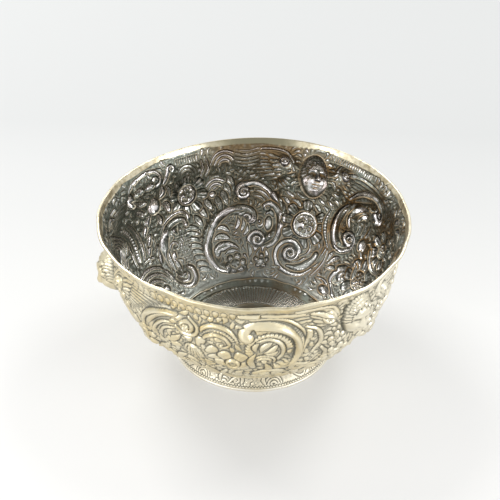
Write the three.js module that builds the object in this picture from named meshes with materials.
// A raised and embossed silver bowl on a flaring foot, in millimetres, with +Z up.
// The bowl stands on the plane z = 0, and its bounding box is centred on the z axis.
// Azimuths are in degrees, clockwise from the back (+Y) as seen from above.
// A drop is a distance down the wall from the edge of the lip, along the wall's curve.

import * as THREE from 'three';

// Driving dimensions of the bowl's sheet
const rimRadius = 66;
const rimHeight = 68.5;
const bellyRadius = 61.6;
const bellyHeight = 58;
const floorRadius = 31;
const floorHeight = 5.9;
const sheetThickness = 0.9;
const lipThickness = 1.3;
const lipLength = 5;
const lipEdgeRound = 0.4;
const ovalBy = 1.0;
const threeSidedBy = 0.8;

// Curve of the wall: how it leaves the floor, the belly and the lip
const wallStartAngle = 32;
const wallStartReach = 20.8;
const bellyReachDown = 24;
const bellyReachUp = 3.5;
const lipAngle = 58;
const lipReach = 3.8;

// Driving dimensions of the foot
const footTopRadius = 33.8;
const footBaseRadius = 36.5;
const collarThickness = 0.9;
const collarFlare = 0.45;
const wireHeight = 1.6;
const wireWidth = 2.8;
const seamWidth = 1.0;
const jointGap = 0.3;

// Fineness of the meshes
const segments = 90;
const headSteps = 10;
const betweenHeadsSteps = 22;
const floorRings = 3;
const headRings = 11;
const lowerWallRings = 11;
const collarRings = 4;
const roundSteps = 4;

// Relief of the floor: the raised ring at the wall and the ring of flutes
const floorRing = { radius: 31.5, width: 3, height: -0.5 };
const fluteRing = { radius: 21.5, width: 10, height: -0.4 };

// Winged heads, pushed out of the wall under the lip
const heads = [
  { azimuth: 25.5, drop: 15.8, height: 4.8 },
  { azimuth: 138.5, drop: 15.4, height: 4.1 },
  { azimuth: 252, drop: 18.4, height: 5.4 },
];
const headAcross = 7.2;
const headAlong = 10.5;
const headSector = 9;
const wing = { azimuthStep: 13, rise: 4.2, across: 7.5, along: 5.5, height: 1.8 };

// Domed bosses: flowers, buds, curled scroll ends and lobes
const bosses = [
  { azimuth: 24.7, drop: 40.1, across: 9.5, along: 9.5, height: 1.9 },
  { azimuth: -34, drop: 23.8, across: 8.5, along: 9, height: 1.8 },
  { azimuth: -52.5, drop: 22.1, across: 5, along: 5, height: 1.6 },
  { azimuth: 75, drop: 28.1, across: 6, along: 6, height: 1.6 },
  { azimuth: 73, drop: 49.1, across: 6.5, along: 6.5, height: 1.6 },
  { azimuth: -13, drop: 62.1, across: 6, along: 5, height: 1.5 },
  { azimuth: 4, drop: 61.1, across: 4, along: 4, height: 1.3 },
  { azimuth: -6, drop: 27.3, across: 4.5, along: 4.5, height: 1.6 },
  { azimuth: 1, drop: 50.6, across: 5, along: 5, height: 1.7 },
  { azimuth: 21.3, drop: 55.5, across: 5.5, along: 5, height: 1.7 },
  { azimuth: 51, drop: 38.5, across: 5, along: 5, height: 1.7 },
  { azimuth: 62, drop: 18.8, across: 5, along: 5, height: 1.7 },
  { azimuth: 60, drop: 53, across: 5, along: 5, height: 1.6 },
  { azimuth: -66.5, drop: 11.8, across: 4.5, along: 5, height: 1.6 },
  { azimuth: -50, drop: 60.1, across: 7, along: 6, height: 1.7 },
  { azimuth: -78, drop: 58.1, across: 11, along: 10, height: 1.5 },
  { azimuth: -85, drop: 28.1, across: 10, along: 14, height: 1.5 },
  { azimuth: 187, drop: 35.1, across: 6, along: 6, height: 1.6 },
  { azimuth: 201, drop: 30.6, across: 7.5, along: 7, height: 1.7 },
  { azimuth: 182, drop: 18.1, across: 5, along: 5, height: 1.8 },
  { azimuth: 193, drop: 20.1, across: 7, along: 6, height: 1.4 },
  { azimuth: 158, drop: 34.1, across: 6, along: 8, height: 1.5 },
  { azimuth: 118, drop: 40.1, across: 7, along: 8, height: 1.5 },
  { azimuth: 230, drop: 42.1, across: 7, along: 8, height: 1.5 },
];

// Large C-scrolls: arcs of a raised band, with angles counter-clockwise from the clockwise tangent
const scrolls = [
  { azimuth: -13, drop: 50.1, radius: 14, from: 40, to: 290, width: 5.5, height: 1.5 },
  { azimuth: 1, drop: 38.1, radius: 12, from: -80, to: 60, width: 5.5, height: 1.4 },
  { azimuth: 51, drop: 33.1, radius: 11, from: 60, to: 240, width: 5.5, height: 1.4 },
  { azimuth: -46, drop: 50.1, radius: 12, from: 80, to: 220, width: 5.5, height: 1.4 },
  { azimuth: 173, drop: 25.1, radius: 12, from: 60, to: 260, width: 5.5, height: 1.7 },
  { azimuth: 212, drop: 23.1, radius: 10, from: -30, to: 150, width: 5.5, height: 1.5 },
];

const degrees = THREE.MathUtils.degToRad;

function polar(x, y, angle, reach) {
  return new THREE.Vector2(x + reach * Math.cos(degrees(angle)), y + reach * Math.sin(degrees(angle)));
}

// Outer face of the sheet from the middle of the floor to the edge of the lip
function sheetCurve() {
  const floorEdge = new THREE.Vector2(floorRadius, floorHeight);
  const belly = new THREE.Vector2(bellyRadius, bellyHeight);
  const lipEdge = new THREE.Vector2(
    rimRadius - lipEdgeRound * Math.cos(degrees(lipAngle)),
    rimHeight - lipEdgeRound * Math.sin(degrees(lipAngle)) - lipThickness * Math.cos(degrees(lipAngle)),
  );
  const curve = new THREE.CurvePath();
  curve.add(new THREE.LineCurve(new THREE.Vector2(0, floorHeight), floorEdge));
  curve.add(new THREE.CubicBezierCurve(
    floorEdge,
    polar(floorRadius, floorHeight, wallStartAngle, wallStartReach),
    new THREE.Vector2(bellyRadius, bellyHeight - bellyReachDown),
    belly,
  ));
  curve.add(new THREE.CubicBezierCurve(
    belly,
    new THREE.Vector2(bellyRadius, bellyHeight + bellyReachUp),
    polar(lipEdge.x, lipEdge.y, lipAngle, -lipReach),
    lipEdge,
  ));
  return curve;
}

const sheet = sheetCurve();
const sheetLength = sheet.getLength();

function bell(q) {
  return q < 1 ? (1 - q * q) ** 2 : 0;
}

// Signed distance along the clockwise tangent from one azimuth to another
function acrossFrom(azimuth, other, radius) {
  const turn = THREE.MathUtils.euclideanModulo(azimuth - other + 180, 360) - 180;
  return degrees(turn) * radius;
}

function domeRelief(boss, azimuth, drop, radius) {
  const u = acrossFrom(azimuth, boss.azimuth, radius) / boss.across;
  const v = (drop - boss.drop) / boss.along;
  return boss.height * bell(Math.hypot(u, v));
}

function headRelief(head, azimuth, drop, radius) {
  const u = acrossFrom(azimuth, head.azimuth, radius) / headAcross;
  const v = (drop - head.drop) / headAlong;
  const q = Math.hypot(u, v);
  return q < 1 ? head.height * (1 - q ** 2.5) ** 0.8 : 0;
}

function scrollRelief(scroll, azimuth, drop, radius) {
  const x = acrossFrom(azimuth, scroll.azimuth, radius);
  const y = scroll.drop - drop;
  const angle = THREE.MathUtils.radToDeg(Math.atan2(y, x));
  const turned = THREE.MathUtils.euclideanModulo(angle - scroll.from, 360);
  if (turned > scroll.to - scroll.from) return 0;
  return scroll.height * bell(Math.abs(Math.hypot(x, y) - scroll.radius) / (scroll.width / 2));
}

function ringRelief(ring, distance) {
  return ring.height * bell(Math.abs(distance - ring.radius) / (ring.width / 2));
}

// Relief of the sheet, outward from its plain face
function relief(azimuth, distance, radius) {
  const drop = sheetLength - distance;
  const wings = heads.flatMap((head) => [
    { ...wing, azimuth: head.azimuth - wing.azimuthStep, drop: head.drop - wing.rise },
    { ...wing, azimuth: head.azimuth + wing.azimuthStep, drop: head.drop - wing.rise },
  ]);
  const raised = [
    ...heads.map((head) => headRelief(head, azimuth, drop, radius)),
    ...[...wings, ...bosses].map((boss) => domeRelief(boss, azimuth, drop, radius)),
    ...scrolls.map((scroll) => scrollRelief(scroll, azimuth, drop, radius)),
  ];
  return Math.max(...raised) + ringRelief(floorRing, distance) + ringRelief(fluteRing, distance);
}

// How far the wall has left its round plan, from 0 at the floor to 1 at the lip
function outOfRound(distance) {
  return THREE.MathUtils.smoothstep(distance, floorRadius, sheetLength);
}

// A point of the sheet's outer face, moved along its plain normal by an offset and past its edge
function sheetPoint(azimuth, distance, offset, beyond) {
  const place = distance / sheetLength;
  const point = sheet.getPointAt(place);
  const tangent = sheet.getTangentAt(place);
  const angle = degrees(azimuth);
  const swell = ovalBy * Math.sin(2 * angle) + threeSidedBy * Math.sin(3 * angle);
  const radius = point.x + outOfRound(distance) * swell + tangent.y * offset + tangent.x * beyond;
  const height = point.y - tangent.x * offset + tangent.y * beyond;
  return new THREE.Vector3(radius * Math.sin(angle), radius * Math.cos(angle), height);
}

function thicknessAt(distance) {
  const towardsEdge = THREE.MathUtils.smoothstep(distance, sheetLength - lipLength, sheetLength);
  return THREE.MathUtils.lerp(sheetThickness, lipThickness, towardsEdge);
}

function evenSteps(from, to, count) {
  return Array.from({ length: count }, (_, i) => THREE.MathUtils.lerp(from, to, i / count));
}

// Distances along the sheet at which the mesh has a ring of points, closer together over the heads
function ringDistances() {
  const headsBegin = sheetLength - Math.max(...heads.map((head) => head.drop)) - headAlong;
  return [
    ...evenSteps(0, floorRadius, floorRings + 1).slice(1),
    ...evenSteps(floorRadius, headsBegin, lowerWallRings),
    ...evenSteps(headsBegin, sheetLength, headRings),
    sheetLength,
  ];
}

// Azimuths at which each ring has a point, closer together over the heads
function columnAzimuths() {
  return heads.flatMap(({ azimuth }, i) => {
    const next = i + 1 < heads.length ? heads[i + 1].azimuth : heads[0].azimuth + 360;
    return [
      ...evenSteps(azimuth - headSector, azimuth + headSector, headSteps),
      ...evenSteps(azimuth + headSector, next - headSector, betweenHeadsSteps),
    ];
  });
}

const columns = columnAzimuths();

// Triangles between two rings of points, and between a ring and the point at its middle
function band(lower, upper) {
  return columns.flatMap((_, j) => {
    const next = (j + 1) % columns.length;
    return [lower + j, upper + j, upper + next, lower + j, upper + next, lower + next];
  });
}

function cap(middle, ring, reversed) {
  return columns.flatMap((_, j) => {
    const next = (j + 1) % columns.length;
    return reversed ? [middle, ring + next, ring + j] : [middle, ring + j, ring + next];
  });
}

// The embossed sheet: up the outside, round the lip's edge and down the inside
function bowlGeometry() {
  const distances = ringDistances();
  const outer = distances.map((distance) => ({ distance, depth: 0, beyond: 0 }));
  const edge = evenSteps(0, Math.PI, roundSteps).slice(1).map((turn) => ({
    distance: sheetLength,
    depth: (1 - Math.cos(turn)) / 2,
    beyond: lipEdgeRound * Math.sin(turn),
  }));
  const inner = distances.map((distance) => ({ distance, depth: 1, beyond: 0 })).reverse();
  const rings = [...outer, ...edge, ...inner];
  const positions = rings.flatMap(({ distance, depth, beyond }) => {
    const radius = sheet.getPointAt(distance / sheetLength).x;
    return columns.flatMap((azimuth) => {
      const offset = relief(azimuth, distance, radius) - depth * thicknessAt(distance);
      return sheetPoint(azimuth, distance, offset, beyond).toArray();
    });
  });
  const lastRing = (rings.length - 1) * columns.length;
  const underside = rings.length * columns.length;
  positions.push(0, 0, floorHeight, 0, 0, floorHeight + sheetThickness);
  const indices = rings.slice(1).flatMap((_, i) => band(i * columns.length, (i + 1) * columns.length));
  indices.push(...cap(underside, 0, false), ...cap(underside + 1, lastRing, true));
  const geometry = new THREE.BufferGeometry();
  geometry.setAttribute('position', new THREE.Float32BufferAttribute(positions, 3));
  geometry.setIndex(indices);
  return geometry;
}

// Height of the bowl's plain underside at a radius outside the floor
function undersideAt(radius) {
  let low = floorRadius / sheetLength;
  let high = 1;
  for (let i = 0; i < 40; i += 1) {
    const middle = (low + high) / 2;
    if (sheet.getPointAt(middle).x < radius) low = middle;
    else high = middle;
  }
  return sheet.getPointAt(low).y;
}

function turned(outline) {
  const closed = [...outline, outline[0]].map(([x, y]) => new THREE.Vector2(x, y));
  const geometry = new THREE.LatheGeometry(closed, segments);
  geometry.rotateX(Math.PI / 2);
  return geometry;
}

// Outer radius of the collar at a height: a shallow hollow curve from its top to the base wire
const collarFoot = wireHeight + jointGap;
const collarTop = undersideAt(footTopRadius) - jointGap;
const wireOuterShoulder = footBaseRadius - wireHeight / 4;

function collarRadius(height) {
  const rise = (height - collarFoot) / (collarTop - collarFoot);
  const straight = THREE.MathUtils.lerp(wireOuterShoulder, footTopRadius, rise);
  return straight - collarFlare * Math.sin(Math.PI * rise);
}

function collarGeometry() {
  const heights = Array.from({ length: collarRings + 1 }, (_, i) => (
    THREE.MathUtils.lerp(collarFoot, collarTop, i / collarRings)
  ));
  const innerTopRadius = footTopRadius - collarThickness;
  const innerTop = undersideAt(innerTopRadius) - jointGap;
  const outer = heights.map((height) => [collarRadius(height), height]);
  const inner = outer.slice(0, -1).map(([radius, height]) => [radius - collarThickness, height]);
  return turned([...outer, [innerTopRadius, innerTop], ...inner.reverse()]);
}

// The base wire: flat below and on its inner side, rounded outside
function baseWireGeometry() {
  const roundRadius = wireHeight / 2;
  const outside = Array.from({ length: roundSteps + 1 }, (_, i) => {
    const turn = Math.PI * (i / roundSteps - 0.5);
    return [footBaseRadius - roundRadius + roundRadius * Math.cos(turn), roundRadius * (1 + Math.sin(turn))];
  });
  const innerRadius = footBaseRadius - wireWidth;
  return turned([[innerRadius, 0], ...outside, [innerRadius, wireHeight]]);
}

// Inner radius of the space that the collar leaves at a height, short of the joint gap
function insideCollar(height) {
  return collarRadius(height) - collarThickness - jointGap;
}

// Solder fillets inside the foot: a corner of metal with a straight face. The upper corner is sharper
// where the wall is steep or the collar leans, and there the same solder runs further along both.
function upperSeamGeometry() {
  const wallTop = footTopRadius - collarThickness - jointGap;
  const corner = new THREE.Vector2(wallTop, undersideAt(wallTop) - jointGap);
  const inside = corner.x - seamWidth;
  const low = corner.y - seamWidth;
  const alongBowl = new THREE.Vector2(inside, undersideAt(inside) - jointGap).sub(corner).normalize();
  const alongCollar = new THREE.Vector2(Math.min(corner.x, insideCollar(low)), low).sub(corner).normalize();
  const side = seamWidth / Math.sqrt(alongBowl.cross(alongCollar));
  return turned([
    corner.clone().addScaledVector(alongCollar, side),
    corner,
    corner.clone().addScaledVector(alongBowl, side),
  ]);
}

function lowerSeamGeometry() {
  const low = insideCollar(collarFoot);
  const high = collarFoot + seamWidth;
  return turned([[low - seamWidth, collarFoot], [low, collarFoot], [insideCollar(high), high]]);
}

function silver(color, roughness) {
  return new THREE.MeshStandardMaterial({ color, roughness, metalness: 1 });
}

function piece(name, geometry, material) {
  const mesh = new THREE.Mesh(geometry, material);
  mesh.name = name;
  return mesh;
}

const bowl = new THREE.Group();
bowl.add(piece('bowl_body', bowlGeometry(), silver(0xd9d2bd, 0.35)));
bowl.add(piece('foot_collar', collarGeometry(), silver(0xdcd5c0, 0.35)));
bowl.add(piece('foot_base_wire', baseWireGeometry(), silver(0xe0dac6, 0.3)));
bowl.add(piece('upper_solder_seam', upperSeamGeometry(), silver(0xb8b2a2, 0.55)));
bowl.add(piece('lower_solder_seam', lowerSeamGeometry(), silver(0xb8b2a2, 0.55)));

// The out-of-round lip shifts the bounding box a little, so the bowl is centred on it
const box = new THREE.Box3().setFromObject(bowl, true);
const middle = box.getCenter(new THREE.Vector3());
bowl.position.set(-middle.x, -middle.y, -box.min.z);

export default bowl;
